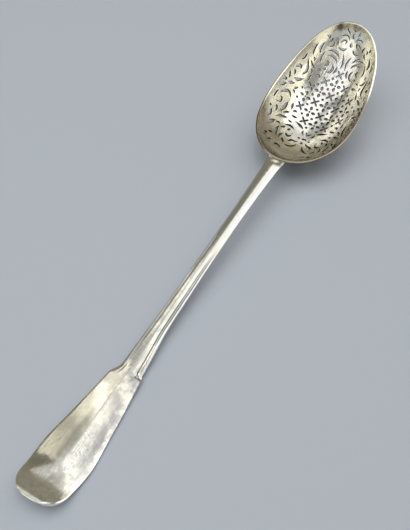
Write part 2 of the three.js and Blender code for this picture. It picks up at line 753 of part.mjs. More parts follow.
function stemHandleGeometry() {
  const crown = (way, side) => {
    const middleOf = mix(neckThickness, tongueThickness, smooth(way, 0, tongueThinnedBy));
    return middleOf * (1 - tongueCrown * side ** 2);
  };
  const tongue = patchGeometry(
    tongueLength,
    tongueWidth,
    (wall) => wall + seatGap,
    (wall, way, side) => wall + stemSeat + crown(way, side),
  );
  const blank = solidOf(handleGeometry()).add(solidOf(tongue));
  return geometryFrom(blank.subtract(solidOf(filledBowl(stemSeat))));
}

function solderGeometry() {
  return patchGeometry(
    tongueLength + solderMargin,
    tongueWidth + 2 * solderMargin,
    (wall) => wall + seatGap,
    (wall) => wall + seatGap + solderThickness,
  );
}

function piece(name, geometry, material) {
  geometry.computeVertexNormals();
  const mesh = new THREE.Mesh(geometry, material);
  mesh.name = name;
  return mesh;
}

const silver = { metalness: 1, roughness: 0.32 };
const handleSilver = new THREE.MeshStandardMaterial({ ...silver, color: 0xd8d6ca });
const bowlSilver = new THREE.MeshStandardMaterial({ ...silver, color: 0xd6cfb4 });
const solder = new THREE.MeshStandardMaterial({ metalness: 1, roughness: 0.4, color: 0xe6e0cc });

const spoon = new THREE.Group();
spoon.add(
  piece("bowl", bowlGeometry(), bowlSilver),
  piece("stem_handle", stemHandleGeometry(), handleSilver),
  piece("solder_seam", solderGeometry(), solder),
);
// The frame's origin is on the table, under the middle of the spoon's length
const extent = new THREE.Box3().setFromObject(spoon);
spoon.position.x = -(extent.min.x + extent.max.x) / 2;

export default spoon;
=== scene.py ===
import math

import bpy
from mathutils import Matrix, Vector


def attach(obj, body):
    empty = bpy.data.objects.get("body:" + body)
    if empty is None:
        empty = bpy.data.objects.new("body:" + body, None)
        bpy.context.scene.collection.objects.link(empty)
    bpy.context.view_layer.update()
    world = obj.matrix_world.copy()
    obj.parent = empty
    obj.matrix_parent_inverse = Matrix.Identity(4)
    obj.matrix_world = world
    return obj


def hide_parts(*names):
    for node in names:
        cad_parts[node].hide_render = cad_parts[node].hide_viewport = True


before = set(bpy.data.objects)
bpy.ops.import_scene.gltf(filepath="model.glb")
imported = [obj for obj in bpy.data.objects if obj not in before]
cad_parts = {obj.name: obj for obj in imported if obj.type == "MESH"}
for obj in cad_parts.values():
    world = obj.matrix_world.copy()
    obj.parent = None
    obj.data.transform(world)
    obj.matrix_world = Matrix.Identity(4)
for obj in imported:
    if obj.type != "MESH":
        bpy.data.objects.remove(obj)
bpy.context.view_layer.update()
toMetres = 0.001
toMillimetres = 1000

spoon = {
    "middleAt": 147.009,  # from the end of the handle to the frame's origin
    "heelAt": 206.3,  # from the end of the handle to the bowl's heel
}

bowl = {
    "length": 92.6,
    "width": 53.2,
    "depth": 21.9,
    "sheer": 6.4,  # how far the middle of the rim dips under its ends
    "pitch": math.radians(17.75),
    "wallAngle": math.radians(75.3),  # how steeply the wall stands at the rim
    "wall": 1.0,
    "rim": 1.2,
    "rimFrom": 0.88,  # where the wall starts to thicken, as a share of the way to the rim
    "plainFrom": 0.97,  # where the plain band along the rim starts
    "rimRound": 0.34,
    "rimSegments": 3,
    "restWear": 0.25,  # worn off the back where it rests
    "eggCentre": -0.03,
    "eggTaper": -0.144,
    "eggFullness": 0.104,
    "eggEnd": 0.081,
    "stretch": 1.165,  # flat sheet against the mouth of the raised bowl
    "cellsAlong": 116,
    "cellsAcross": 66,
    "smoothAngle": 32,
}


def mix(a, b, share):
    return a + (b - a) * share


def smooth(value, low, high):
    share = min(1, max(0, (value - low) / (high - low)))
    return share * share * (3 - 2 * share)


def between(a, b, c, d, t):  # from b to c on a smooth curve, with a before them and d after
    return b + 0.5 * t * (c - a + t * (2 * a - 5 * b + 4 * c - d + t * (3 * (b - c) + d - a)))


def lastInside(isInside, far, halvings=44):  # the furthest reach that is still inside
    near = 0
    for _ in range(halvings):
        half = (near + far) / 2
        if isInside(half):
            near = half
        else:
            far = half
    return near


def pickOnly(*objs):
    bpy.ops.object.select_all(action="DESELECT")
    for obj in objs:
        obj.select_set(True)
    bpy.context.view_layer.objects.active = objs[0]


def editAll():
    bpy.ops.object.mode_set(mode="EDIT")
    bpy.ops.mesh.select_all(action="SELECT")


def doneEditing():
    bpy.ops.object.mode_set(mode="OBJECT")


def faceOut(obj):
    pickOnly(obj)
    editAll()
    bpy.ops.mesh.normals_make_consistent(inside=False)
    doneEditing()


def applyModifier(obj, kind, **settings):
    pickOnly(obj)
    modifier = obj.modifiers.new(kind.lower(), kind)
    for name, value in settings.items():
        setattr(modifier, name, value)
    bpy.ops.object.modifier_apply(modifier=modifier.name)


def removeObject(obj):
    pickOnly(obj)
    bpy.ops.object.delete()


def addSheet(name, along, across):  # a flat square sheet from -1 to 1
    bpy.ops.mesh.primitive_grid_add(x_subdivisions=along, y_subdivisions=across, size=2)
    sheet = bpy.context.object
    sheet.name = name
    return sheet


def thicken(sheet):  # by one whole wall, so that a depth in it is a share of the wall
    applyModifier(sheet, "SOLIDIFY", thickness=1, offset=-1)


# The bowl's form

mouthLength = bowl["length"] - 2 * bowl["rim"]
mouthWidth = bowl["width"] - 2 * bowl["rim"]


def eggShape(along):
    ellipse = math.sqrt(max(0, 1 - along**2))
    taper, fullness, end = bowl["eggTaper"], bowl["eggFullness"], bowl["eggEnd"]
    return ellipse * (1 + taper * along + fullness * along**2 + end * along**3)


eggWidest = max(eggShape(i / 200 - 1) for i in range(401))


def edgeRadius(direction):  # from the mouth's centre to its edge
    def isInside(radius):
        along = bowl["eggCentre"] + 2 * radius * math.cos(direction) / mouthLength
        beam = mouthWidth / 2 * eggShape(along) / eggWidest
        return abs(along) < 1 and abs(radius * math.sin(direction)) < beam

    return lastInside(isInside, mouthLength)


edgeSteps = 2880
edgeTable = [edgeRadius(2 * math.pi * i / edgeSteps) for i in range(edgeSteps)]


def mouthRadius(direction):
    place = direction / (2 * math.pi) * edgeSteps
    first = math.floor(place)
    beside = [edgeTable[(first + k) % edgeSteps] for k in (-1, 0, 1, 2)]
    return between(*beside, place - first)


def sheetShare(x, y):  # 1 at the rim
    return math.hypot(x, y) / (mouthRadius(math.atan2(y, x)) * bowl["stretch"])


def eggPlace(u, v):  # moves a place of the square sheet to the egg outline of the bowl's flat sheet
    x, y = u * math.sqrt(1 - v * v / 2), v * math.sqrt(1 - u * u / 2)
    direction = math.atan2(y, x)
    reach = math.hypot(x, y) * mouthRadius(direction) * bowl["stretch"]
    return reach * math.cos(direction), reach * math.sin(direction)


def hollow(x, y):  # the inside of the raised bowl, over a place of the flat sheet
    direction = math.atan2(y, x)
    edge = mouthRadius(direction)
    full = bowl["wallAngle"]
    swing = math.hypot(x, y) / (edge * bowl["stretch"]) * full
    radius = edge * math.sin(swing) / math.sin(full)
    sunk = (math.cos(swing) - math.cos(full)) / (1 - math.cos(full))
    along = bowl["eggCentre"] + 2 * radius * math.cos(direction) / mouthLength
    return Vector((
        bowl["rim"] + mouthLength * (1 + along) / 2,
        radius * math.sin(direction),
        -bowl["sheer"] * (1 - along**2) - bowl["depth"] * sunk,
    ))


def throughWall(x, y, distance):
    if distance == 0:
        return hollow(x, y)
    step = 0.02
    lengthwise = hollow(x + step, y) - hollow(x - step, y)
    crosswise = hollow(x, y + step) - hollow(x, y - step)
    return hollow(x, y) - lengthwise.cross(crosswise).normalized() * distance


def wallAt(x, y):
    return mix(bowl["wall"], bowl["rim"], smooth(sheetShare(x, y), bowl["rimFrom"], 1))


def pitched(at):
    turn = bowl["pitch"]
    return Vector((
        at.x * math.cos(turn) - at.z * math.sin(turn),
        at.y,
        at.x * math.sin(turn) + at.z * math.cos(turn),
    ))


# the lowest place of the back is on the middle line, which is searched every half millimetre
backDepth = max(-pitched(throughWall(x / 2, 0, bowl["wall"])).z for x in range(-60, 41))
heelHeight = backDepth - bowl["restWear"]


def bowlPoint(x, y, distance):  # a place of the flat sheet, in the spoon
    at = pitched(throughWall(x, y, distance))
    return Vector((at.x + spoon["heelAt"] - spoon["middleAt"], at.y, max(0, at.z + heelHeight)))


print("bowl form: heel", round(heelHeight, 2), "mm above the table")

# The piercing, drawn in the flat sheet

piercing = {
    "columnPitch": 5.72,
    "rowPitch": 5.5,
    "firstColumnAt": -4.8,
    "rows": ((-2, 1, 3), (-1, 0, 4), (0, 0, 5), (1, 0, 4), (2, 1, 3)),  # row, first and last column
    "dotRows": ((0.5, -1, 4), (1.5, 0, 3), (2.62, 1, 2)),
    "loneDots": ((-15.4, 2.7), (23.6, 8.6)),
    "petalReach": 1.95,
    "petalLength": 2.15,
    "petalWidth": 1.45,
    "eye": 0.9,
    "eyeShape": (10, 1.7),  # points of the outline and its fullness
    "saltireReach": 2.45,
    "saltireWaist": 0.66,
    "saltireSharpness": 3.4,
    "saltireBlunted": 2.6,  # the sharpness when it has grown by the next length
    "saltireGrowth": 0.2,
    "dot": 1.2,
    "dotShape": (12, 1.8),
    "leafBreadth": 1.18,
    "leafPoint": 0.06,  # half the width that a leaf keeps at its points
    "leafSteps": 6,  # at the least
    "step": 0.5,
    "trackSteps": 60,  # from one place of a leaf's spine to the next
    "trackReach": 3,  # steps on either side that give the spine's direction
    "chamfer": 0.12,
    "taper": 0.32,  # narrower by this on each side, at the far end of a cut
    "above": 0.07,
    "below": 1.25,
}


def splineAt(spine, place):
    k = min(int(place), len(spine) - 2)
    beside = [spine[max(k - 1, 0)], spine[k], spine[k + 1], spine[min(k + 2, len(spine) - 1)]]
    return [between(*values, place - k) for values in zip(*beside)]


def leaf(spine, width, fullest=0.5, grown=0):
    fine = piercing["trackSteps"] * (len(spine) - 1)
    track = [splineAt(spine, i / piercing["trackSteps"]) for i in range(fine + 1)]
    run = [0]
    for a, b in zip(track, track[1:]):
        run.append(run[-1] + math.dist(a, b))
    steps = max(piercing["leafSteps"], round(run[-1] / piercing["step"]))
    skew = math.log(0.5) / math.log(fullest)
    reach = piercing["trackReach"]
    right, left = [], []
    k = 0
    for i in range(1, steps):
        want = run[-1] * i / steps
        while run[k + 1] < want:
            k += 1
        a, b = track[k], track[k + 1]
        share = (want - run[k]) / (run[k + 1] - run[k])
        at = [mix(a[0], b[0], share), mix(a[1], b[1], share)]
        before, after = track[max(k - reach, 0)], track[min(k + 1 + reach, fine)]
        long = math.dist(before, after)
        along = [(after[0] - before[0]) / long, (after[1] - before[1]) / long]
        swell = math.sin(math.pi * (i / steps) ** skew)
        half = max(piercing["leafPoint"], width * piercing["leafBreadth"] / 2 * swell + grown)
        right.append((at[0] + along[1] * half, at[1] - along[0] * half))
        left.insert(0, (at[0] - along[1] * half, at[1] + along[0] * half))
    ends = []
    for end, inner in ((track[0], track[reach]), (track[-1], track[-1 - reach])):
        share = grown / math.dist(end, inner)
        ends.append((end[0] + (end[0] - inner[0]) * share, end[1] + (end[1] - inner[1]) * share))
    return [ends[0], *right, ends[1], *left]


def petal(length, height, points=14, fullness=1.45, grown=0):
    length, height = length + 2 * grown, height + 2 * grown
    outline = []
    for i in range(points):
        turn = 2 * math.pi * i / points
        c, s = math.cos(turn), math.sin(turn)
        outline.append((
            length / 2 * math.copysign(abs(c) ** (2 / fullness), c),
            height / 2 * math.copysign(abs(s) ** (2 / fullness), s),
        ))
    return outline


def saltire(points=40, grown=0):
    share = grown / piercing["saltireGrowth"]
    sharpness = mix(piercing["saltireSharpness"], piercing["saltireBlunted"], share)
    outline = []
    for i in range(points):
        turn = 2 * math.pi * i / points
        arm = abs(math.sin(2 * turn)) ** sharpness
        reach = mix(piercing["saltireWaist"], piercing["saltireReach"], arm) + grown
        outline.append((reach * math.cos(turn), reach * math.sin(turn)))
    return outline


def arrow(grown=0):
    upper = [(0.5, 0.7), (1.5, 1.5), (-0.2, 0.95)]
    lower = [(x, -y) for x, y in reversed(upper)]
    outline = [(-1.9, 0), *lower, (0, 0), *upper]
    return [(x * (1 + grown / 2) - grown / 4, y * (1 + grown)) for x, y in outline]


# left half of the scrolls and leaves: spine, width and, where it isn't the middle, the fullest share
heelScrolls = [
    ([(-31.8, 17.3), (-29.0, 17.9), (-27.1, 17.0)], 1.0),
    ([(-25.9, 17.2), (-24.9, 16.1), (-23.8, 15.2)], 1.0),
    ([(-32.0, 13.8), (-30.5, 14.1), (-28.8, 13.3)], 0.8),
    ([(-31.4, 10.2), (-29.0, 9.4), (-28.9, 7.9), (-30.6, 6.8)], 1.2),
    ([(-23.8, 12.0), (-21.2, 13.9), (-16.9, 14.3)], 1.3, 0.62),
    ([(-16.3, 13.3), (-15.2, 12.4), (-13.8, 11.5)], 0.9),
    ([(-23.4, 11.0), (-20.8, 11.3), (-18.5, 10.4)], 0.7),
    ([(-24.6, 7.6), (-23.2, 8.4), (-21.3, 9.6)], 1.1),
    ([(-25.2, 6.5), (-24.6, 4.4), (-22.7, 2.5), (-20.3, 1.6)], 1.0, 0.4),
    ([(-21.6, 6.2), (-19.3, 5.2), (-18.8, 3.4), (-17.5, 1.6)], 1.1, 0.45),
    ([(-14.4, 6.8), (-16.6, 6.7), (-18.2, 8.0), (-17.0, 9.6)], 1.3, 0.76),
    ([(-15.4, 9.6), (-14.2, 9.3), (-13.0, 8.6)], 0.9),
    ([(-13.1, 12.2), (-11.6, 9.8), (-12.0, 6.6)], 1.0),
    ([(-7.5, 9.1), (-8.2, 5.8), (-9.4, 3.6)], 1.2, 0.6),
    ([(-12.7, 1.9), (-11.4, 2.9), (-9.9, 3.1)], 0.8),
    ([(-9.5, 12.4), (-9.6, 11.2), (-9.4, 9.9)], 0.9),
    ([(-6.1, 12.3), (-6.0, 10.7), (-5.4, 8.9)], 0.9),
    ([(-4.2, 12.2), (-3.1, 11.8), (-2.8, 10.3)], 1.0, 0.4),
]
sideScrolls = [
    ([(-23.5, 20.2), (-19.7, 19.4), (-15.6, 17.6)], 1.5, 0.62),
    ([(-16.3, 16.6), (-15.2, 15.9), (-14.3, 14.5)], 0.9),
    ([(-14.1, 18.7), (-11.3, 16.8), (-8.7, 13.0)], 1.1, 0.6),
    ([(-11.2, 19.2), (-6.5, 17.4), (-1.6, 17.0)], 1.5, 0.66),
    ([(-8.5, 16.4), (-7.0, 15.2), (-5.3, 13.6)], 0.9),
    ([(-13.3, 25.1), (-12.3, 24.6), (-11.6, 23.8)], 1.0),
    ([(-19.3, 22.5), (-15.8, 21.9), (-12.6, 22.6)], 1.4, 0.65),
    ([(-13.3, 20.6), (-10.5, 20.3), (-8.2, 21.4)], 1.5, 0.75),
    ([(-3.9, 13.6), (-1.8, 14.1), (0.1, 14.3)], 1.1),
    ([(-7.6, 25.2), (-4.7, 25.7), (-1.6, 25.0)], 1.3),
    ([(-7.0, 23.5), (-5.9, 21.4), (-4.2, 20.5), (-2.7, 21.2), (-3.2, 22.4)], 0.95, 0.62),
    ([(-1.3, 23.6), (1.2, 21.9), (2.8, 19.8), (2.4, 18.2), (0.8, 16.8)], 1.2),
    ([(0.8, 26.0), (3.0, 24.8), (5.3, 22.8)], 1.4),
    ([(4.8, 26.6), (6.2, 25.5), (7.4, 23.8)], 1.2, 0.65),
    ([(6.6, 22.8), (7.3, 21.2), (8.7, 18.8)], 1.1, 0.4),
    ([(4.3, 16.3), (5.0, 17.1), (5.5, 18.2)], 0.9),
    ([(6.1, 18.2), (7.0, 17.3), (8.2, 16.2)], 0.9),
    ([(8.6, 22.7), (10.0, 23.9), (12.2, 25.0)], 1.2),
    ([(12.1, 21.2), (13.5, 22.0), (14.8, 22.9)], 1.3),
    ([(10.7, 20.8), (11.2, 18.7), (13.7, 15.8)], 1.4, 0.4),
    ([(16.2, 23.0), (18.0, 21.9), (18.2, 20.4), (16.9, 19.7)], 1.5),
    ([(14.7, 17.9), (17.8, 16.6), (20.4, 17.1), (24.2, 18.7)], 1.4, 0.45),
    ([(22.0, 22.2), (23.6, 21.3), (26.6, 20.6)], 1.5, 0.35),
    ([(12.9, 14.6), (15.0, 13.8), (17.6, 13.4)], 0.9),
    ([(18.1, 13.5), (19.2, 13.9), (20.4, 14.8)], 0.9),
]
tipScrolls = [
    ([(18.4, 12.4), (18.9, 10.9), (19.2, 8.8)], 1.1, 0.7),
    ([(21.2, 12.1), (22.0, 11.2), (22.2, 9.9)], 0.8),
    ([(21.9, 12.9), (22.0, 14.9), (24.4, 17.0)], 0.9),
    ([(24.6, 14.9), (25.7, 15.5), (26.8, 16.4)], 0.9),
    ([(26.9, 17.2), (30.6, 18.1), (34.9, 17.5)], 1.0),
    ([(29.6, 14.1), (33.0, 15.2), (36.7, 14.2)], 1.4),
    ([(25.4, 12.0), (28.5, 12.8), (32.1, 11.9)], 0.9),
    ([(39.4, 12.6), (40.9, 13.3), (41.1, 14.9)], 1.0),
    ([(25.1, 9.6), (26.1, 8.1), (27.5, 8.4), (27.9, 9.8)], 0.8),
    ([(22.5, 7.6), (23.3, 5.6), (25.6, 4.9), (27.8, 6.0)], 0.9),
    ([(30.3, 10.0), (31.3, 7.6), (30.2, 5.0), (28.4, 3.9)], 0.9),
    ([(33.0, 11.1), (34.1, 8.0), (33.2, 5.4), (31.2, 3.5)], 1.0),
    ([(23.1, 3.9), (25.2, 3.0), (27.2, 3.0)], 0.9),
    ([(35.3, 10.9), (36.4, 9.7), (38.6, 9.4)], 0.9),
    ([(26.6, 1.3), (30.2, 1.0), (34.2, 2.4)], 0.8),
    ([(37.9, 1.6), (36.4, 3.4), (36.7, 6.4)], 1.1),
    ([(39.4, 3.4), (41.5, 3.1), (41.7, 4.7), (39.4, 6.0)], 0.9),
    ([(42.2, 1.6), (44.4, 2.9), (45.0, 4.8), (43.4, 6.4)], 1.0, 0.6),
    ([(46.0, 2.4), (47.8, 3.5), (49.6, 4.7)], 1.1, 0.6),
    ([(37.7, 7.6), (39.6, 7.8), (41.8, 9.1)], 0.9),
    ([(38.0, 11.0), (39.3, 11.3), (40.7, 10.8)], 0.9),
]

# on the middle line: place, length and height
lozenges = [(-18.1, 1.8, 1.3), (-15.2, 1.9, 2.7), (40.1, 2.6, 1.8), (49.2, 1.4, 1.3)]
arrowAt = -11.3
tipLeaf = ([(43.7, 0), (45.4, 0), (47.2, 0)], 1.2)


def sawCut(shape, *sizes, at=(0, 0)):  # a punch that leaves a softened edge inside the bowl
    bottom, shoulder, top = -piercing["below"], -piercing["chamfer"], piercing["above"]
    narrow, outline, flare = [
        [(x + at[0], y + at[1]) for x, y in shape(*sizes, grown=grown)]
        for grown in (-piercing["taper"], 0, top - shoulder)
    ]
    bpy.ops.mesh.primitive_circle_add(vertices=len(outline), fill_type="NGON")
    cut = bpy.context.object
    for vertex, (x, y) in zip(cut.data.vertices, outline):
        vertex.co = (x, y, bottom)
    editAll()
    for rise in (shoulder - bottom, top - shoulder):
        bpy.ops.mesh.extrude_region_move(TRANSFORM_OT_translate={"value": (0, 0, rise)})
    doneEditing()
    for vertex in cut.data.vertices:
        x, y, z = vertex.co
        nearest = min(range(len(outline)), key=lambda i: math.dist(outline[i], (x, y)))
        if z > 0:
            vertex.co = (*flare[nearest], top)
        elif z < (bottom + shoulder) / 2:
            vertex.co = (*narrow[nearest], bottom)
    return cut


def copyOf(obj, across=1, shift=(0, 0), quarter=False):  # across -1 mirrors, quarter turns by 90 degrees
    twin = obj.copy()
    twin.data = obj.data.copy()
    bpy.context.collection.objects.link(twin)
    for vertex in twin.data.vertices:
        x, y, z = vertex.co
        if quarter:
            x, y = -y, x
        vertex.co = (x + shift[0], y * across + shift[1], z)
    if across < 0:
        twin.data.flip_normals()
    return twin


def diaperCuts():
    side = sawCut(petal, piercing["petalLength"], piercing["petalWidth"])
    eye = sawCut(petal, piercing["eye"], piercing["eye"], *piercing["eyeShape"])
    star = sawCut(saltire)
    dot = sawCut(petal, piercing["dot"], piercing["dot"], *piercing["dotShape"])
    reach = piercing["petalReach"]
    cuts = []
    for row, first, last in piercing["rows"]:
        for column in range(first, last + 1):
            x = piercing["firstColumnAt"] + column * piercing["columnPitch"]
            y = row * piercing["rowPitch"]
            if (column + row) % 2:
                cuts.append(copyOf(star, shift=(x, y)))
                continue
            for way in (-1, 1):
                cuts.append(copyOf(side, shift=(x + way * reach, y)))
                cuts.append(copyOf(side, shift=(x, y + way * reach), quarter=True))
            cuts.append(copyOf(eye, shift=(x, y)))
    for row, first, last in piercing["dotRows"]:
        for column in range(first, last + 1):
            x = piercing["firstColumnAt"] + (column + 0.5) * piercing["columnPitch"]
            for way in (-1, 1):
                cuts.append(copyOf(dot, shift=(x, way * row * piercing["rowPitch"])))
    for x, y in piercing["loneDots"]:
        cuts += [copyOf(dot, shift=(x, y)), copyOf(dot, shift=(x, -y))]
    for kind in (side, eye, star, dot):
        removeObject(kind)
    return cuts


def scrollCuts():
    cuts = []
    for scroll in heelScrolls + sideScrolls + tipScrolls:
        cut = sawCut(leaf, *scroll)
        cuts += [cut, copyOf(cut, across=-1)]
    for x, length, height in lozenges:
        cuts.append(sawCut(petal, length, height, at=(x, 0)))
    cuts.append(sawCut(arrow, at=(arrowAt, 0)))
    cuts.append(sawCut(leaf, *tipLeaf))
    return cuts


def roundRim(sheet):
    pickOnly(sheet)
    nearlyOne, halfWall = 0.9999, 0.5
    atRim = [sheetShare(v.co.x, v.co.y) > nearlyOne for v in sheet.data.vertices]
    bpy.ops.object.mode_set(mode="EDIT")
    bpy.ops.mesh.select_mode(type="EDGE")
    bpy.ops.mesh.select_all(action="DESELECT")
    doneEditing()
    heights = [v.co.z for v in sheet.data.vertices]
    for edge in sheet.data.edges:  # those that run along the rim, on its inner and its outer side
        a, b = edge.vertices
        edge.select = atRim[a] and atRim[b] and abs(heights[a] - heights[b]) < halfWall
    bpy.ops.object.mode_set(mode="EDIT")
    bpy.ops.mesh.bevel(offset=bowl["rimRound"], segments=bowl["rimSegments"], affect="EDGES")
    bpy.ops.mesh.select_mode(type="VERT")
    doneEditing()


def isSawn(face):  # stands upright in the flat sheet, away from the rim
    return abs(face.normal.z) < 0.5 and sheetShare(face.center.x, face.center.y) < bowl["plainFrom"]


def makeBowl():
    sheet = addSheet("piercedBowl", bowl["cellsAlong"], bowl["cellsAcross"])
    for vertex in sheet.data.vertices:
        vertex.co = (*eggPlace(vertex.co.x, vertex.co.y), 0)
    thicken(sheet)
    faceOut(sheet)
    roundRim(sheet)
    print("bowl sheet:", len(sheet.data.polygons), "faces")

    cuts = diaperCuts() + scrollCuts()
    print("piercing:", len(cuts), "cuts")
    pickOnly(*cuts)
    bpy.ops.object.join()
    punch = bpy.context.object
    applyModifier(sheet, "BOOLEAN", operation="DIFFERENCE", object=punch, solver="EXACT")
    removeObject(punch)
    print("pierced sheet:", len(sheet.data.polygons), "faces")

    # the sawn walls have a near-black finish of their own, partly painted shade that darkens the holes, in
    # the second of two material slots
    sheet.data.materials.append(None)
    sheet.data.materials.append(None)
    for face in sheet.data.polygons:
        face.material_index = int(isSawn(face))

    # the flat pierced sheet is raised into the bowl
    for vertex in sheet.data.vertices:
        x, y, z = vertex.co
        vertex.co = bowlPoint(x, y, max(0, -z) * wallAt(x, y)) * toMetres
    return sheet


pierced = makeBowl()


# The handle

handle = {
    "length": spoon["heelAt"],
    "overrun": 0.9,  # the bar runs on past the heel, and is then filed to the bowl
    "bladeWidth": 25.7,
    "bladeWidestAt": 24,
    "bladeEndRound": 12,
    "bladeEndSquareness": 2.6,
    "bladeThickness": 2.0,
    "ribHeight": 1.0,
    "ribStart": 7,
    "ribFade": 6,
    "ribEnds": (-10, 12),  # from the shoulders, where the rib dies away
    "ribSweep": 1.3,
    "ribSoftened": 0.03,
    "ribSoftenedOver": 0.07,
    "forkAt": 21,
    "forkRun": 12,
    "forkSpread": 0.75,
    "forkDip": 0.55,
    "forkSink": 0.45,
    "lipLength": 30,
    "lipRise": 8.6,
    "lipSweep": 3.2,
    "curlLength": 2.7,
    "curlDrop": 1.5,
    "restEnd": 30.5,  # the blade lies level up to here, and then rises to the neck
    "shoulderAt": 70.5,
    "leftShoulderLead": 5.9,
    "rightShoulderLead": 2.2,
    "shoulderWidth": 14.4,
    "rightRun": 3,
    "leftRun": 6.5,
    "rootWidth": 10.3,
    "rightSwell": 1.35,
    "swellLength": 26,
    "waistWidth": 6.8,
    "waistFromHeel": 44,
    "neckWidth": 9.4,
    "neckLength": 24,
    "stemThickness": 4.3,
    "neckThickness": 3.8,
    "thickens": (-12, 26),  # from the shoulders
    "stemStarts": (-8, 6),
    "stepStarts": (-0.8, 1.0),  # from the right shoulder, for the outer part of its side
    "stepFrom": 0.5,
    "turnsRound": (38, 92),
    "rodShoulder": 0.05,
    "rodFullness": 2.3,
    "arch": 0.42,
    "crestAt": 0.13,
    "leanLeft": 0.14,
    "leanRight": 0.22,
    "bendBefore": 8,
    "bendLength": 14,
    "neckAboveRim": 2.2,
    "neckDrop": 6,
    "endMarks": 16,
    "firstMark": 0.03,
    "smoothAngle": 28,
}
joint = {
    "gap": 0.05,
    "solder": 0.3,
    "margin": 0.55,
    "tongueLength": 12.5,
    "tongueWidth": 7.4,
    "tongueThickness": 1.3,
    "thinnedBy": 0.8,  # share of the tongue's length over which it thins
    "sideThinning": 0.45,
    "endRound": 0.98,
    "cellsAlong": 26,
    "cellsAcross": 22,
    "formCells": (80, 60),
    "formTop": 60,
    "smoothAngle": 40,
}


def curveThrough(stations):  # a smooth run of values through the stations
    places = [at for at, _ in stations]
    values = [value for _, value in stations]
    slopes = []
    for i in range(len(places)):
        if i == 0:
            slope = (values[1] - values[0]) / (places[1] - places[0])
        elif i == len(places) - 1:
            slope = (values[-1] - values[-2]) / (places[-1] - places[-2])
        else:
            slope = (values[i + 1] - values[i - 1]) / (places[i + 1] - places[i - 1])
        slopes.append(slope)

    def evaluate(at):
        at = min(max(at, places[0]), places[-1])
        k = max(i for i in range(len(places) - 1) if places[i] <= at)
        span = places[k + 1] - places[k]
        t = (at - places[k]) / span
        start = (1 + 2 * t) * (1 - t) ** 2 * values[k] + t * (1 - t) ** 2 * span * slopes[k]
        end = t * t * (3 - 2 * t) * values[k + 1] + t * t * (t - 1) * span * slopes[k + 1]
        return start + end

    return evaluate


def bladeTaper(share):
    return mix(handle["bladeWidth"], handle["shoulderWidth"], share) / 2


def stemTaper(share):
    return mix(handle["rootWidth"], handle["waistWidth"], share) / 2


def neckFlare(share):
    return mix(handle["waistWidth"], handle["neckWidth"], share) / 2


shoulderAt = handle["shoulderAt"]
leftShoulder = shoulderAt - handle["leftShoulderLead"]
rightShoulder = shoulderAt - handle["rightShoulderLead"]
waistAt = handle["length"] - handle["waistFromHeel"]
neckAt = handle["length"] - handle["neckLength"]
barEnd = handle["length"] + handle["overrun"]
bladeHalf = curveThrough([
    (handle["bladeEndRound"], bladeTaper(0.11)),
    (handle["bladeWidestAt"], bladeTaper(0)),
    (mix(handle["bladeWidestAt"], shoulderAt, 0.33), bladeTaper(0.32)),
    (mix(handle["bladeWidestAt"], shoulderAt, 0.66), bladeTaper(0.65)),
    (shoulderAt, bladeTaper(1)),
])
stemHalf = curveThrough([
    (leftShoulder, stemTaper(0)),
    (mix(shoulderAt, waistAt, 0.12), stemTaper(0.25)),
    (mix(shoulderAt, waistAt, 0.33), stemTaper(0.66)),
    (mix(shoulderAt, waistAt, 0.66), stemTaper(0.93)),
    (waistAt, stemTaper(1)),
    (neckAt, neckFlare(0.22)),
    (neckAt + handle["neckLength"] * 0.65, neckFlare(0.6)),
    (handle["length"], neckFlare(1)),
])


def fromShoulder(at, name):  # 0 to 1 between the two places that the setting gives
    start, end = handle[name]
    return smooth(at, shoulderAt + start, shoulderAt + end)


def halfWidth(at, shoulder, run, swell):
    square = handle["bladeEndSquareness"]
    short = max(0, 1 - at / handle["bladeEndRound"]) ** square
    blade = bladeHalf(at) * (1 - short) ** (1 / square)
    stem = stemHalf(at) + swell * (1 - smooth(at, shoulderAt, shoulderAt + handle["swellLength"]))
    return mix(blade, stem, smooth(at, shoulder, shoulder + run))


def rightHalf(at):
    return halfWidth(at, rightShoulder, handle["rightRun"], handle["rightSwell"])


def leftHalf(at):
    return halfWidth(at, leftShoulder, handle["leftRun"], 0)


def thickness(at):
    thinned = smooth(at, neckAt, handle["length"])
    stem = mix(handle["bladeThickness"], handle["stemThickness"], fromShoulder(at, "thickens"))
    return mix(stem, handle["neckThickness"], thinned)


def bent(at):
    past = at - (shoulderAt - handle["bendBefore"])
    return (past + math.hypot(past, handle["bendLength"])) / 2


def middle(at):
    low = handle["bladeThickness"] / 2
    high = heelHeight + handle["neckAboveRim"] - handle["neckThickness"] / 2
    lip = handle["lipRise"] * max(0, 1 - at / handle["lipLength"]) ** handle["lipSweep"]
    lip -= handle["curlDrop"] * max(0, 1 - at / handle["curlLength"]) ** 2
    level = bent(handle["restEnd"])
    way = max(0, bent(at) - level) / (bent(handle["length"]) - level)
    return low + lip + (high - low) * (way + handle["arch"] * way * (1 - way))


# shares of the half width, from the crest of the rib over the top, and then round the edge to the back
topShares = [0, 0.02, 0.05, 0.12, 0.2, 0.32, 0.42, 0.52, 0.59, 0.62, 0.7, 0.77, 0.80, 0.9]
edgeShares = [0.97, 1.0, 1.0, 0.985, 0.94, 0.8, 0.6, 0.35, 0]
acrossShares = topShares + edgeShares
pointsAround = 2 * (len(acrossShares) - 1)

# heights at these places, in shares of half the thickness
bladeEdge = [0.86, 0.5, -0.3, -0.72, -0.94, -1, -1, -1, -1]
barTop = [1.0, 1.0, 1.0, 0.995, 0.99, 0.975, 0.95, 0.9, 0.66, 0.83, 0.84, 0.6, 0.5, 0.3]
barEdge = [0.08, -0.1, -0.34, -0.56, -0.78, -0.94, -0.98, -1.0, -1.0]
rodEdge = [0.3, 0.1, -0.12, -0.34, -0.58, -0.8, -0.92, -0.98, -1.0]


